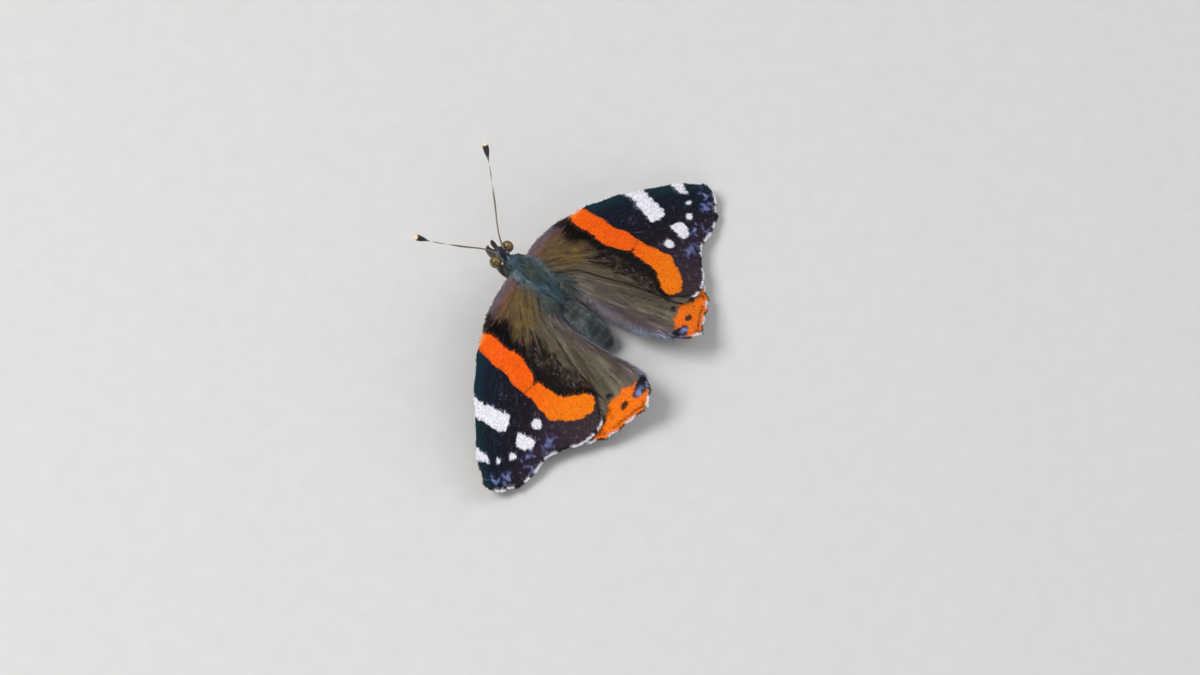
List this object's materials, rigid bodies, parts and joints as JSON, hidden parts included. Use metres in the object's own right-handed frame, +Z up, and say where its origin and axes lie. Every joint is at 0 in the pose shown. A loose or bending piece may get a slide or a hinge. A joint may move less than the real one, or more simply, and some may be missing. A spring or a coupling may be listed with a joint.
{
  "type": "red admiral butterfly",
  "caption": "Life-size butterfly standing on its feet with wings spread: dark forewings with an orange-red band and white spots, orange-edged hindwings, hairy body, raised clubbed antennae.",
  "frame": {"origin": "on the floor under the middle of the part's box, between the feet", "axes": "+X to the animal's right, +Y towards the head, +Z up from the floor"},
  "size_m": [0.062, 0.0404, 0.022],
  "materials": {
    "body_hair": "short dense hair, dark blue-green",
    "head_hair": "short dark hair with pale flecks",
    "eye": "finely faceted, glossy, golden brown",
    "forewing": "overlapping scales, dark with an orange-red band and white spots",
    "hindwing": "overlapping scales and long hair, brown with an orange margin",
    "antenna": "dark, ringed with pale scales, cream at the tip",
    "leg": "fine brown scales",
    "mouthpart": "brown scales and smooth coiled tongue"
  },
  "bodies": {
    "root": {"thorax": "body_hair", "head": "head_hair", "abdomen": "body_hair", "eye_right": "eye", "eye_left": "eye", "antenna_right": "antenna", "antenna_left": "antenna", "palp_right": "mouthpart", "palp_left": "mouthpart", "proboscis": "mouthpart", "forewing_right": "forewing", "forewing_left": "forewing", "hindwing_right": "hindwing", "hindwing_left": "hindwing", "midleg_right": "leg", "midleg_left": "leg", "hindleg_right": "leg", "hindleg_left": "leg", "foreleg_right": "leg", "foreleg_left": "leg"}
  },
  "joints": []
}
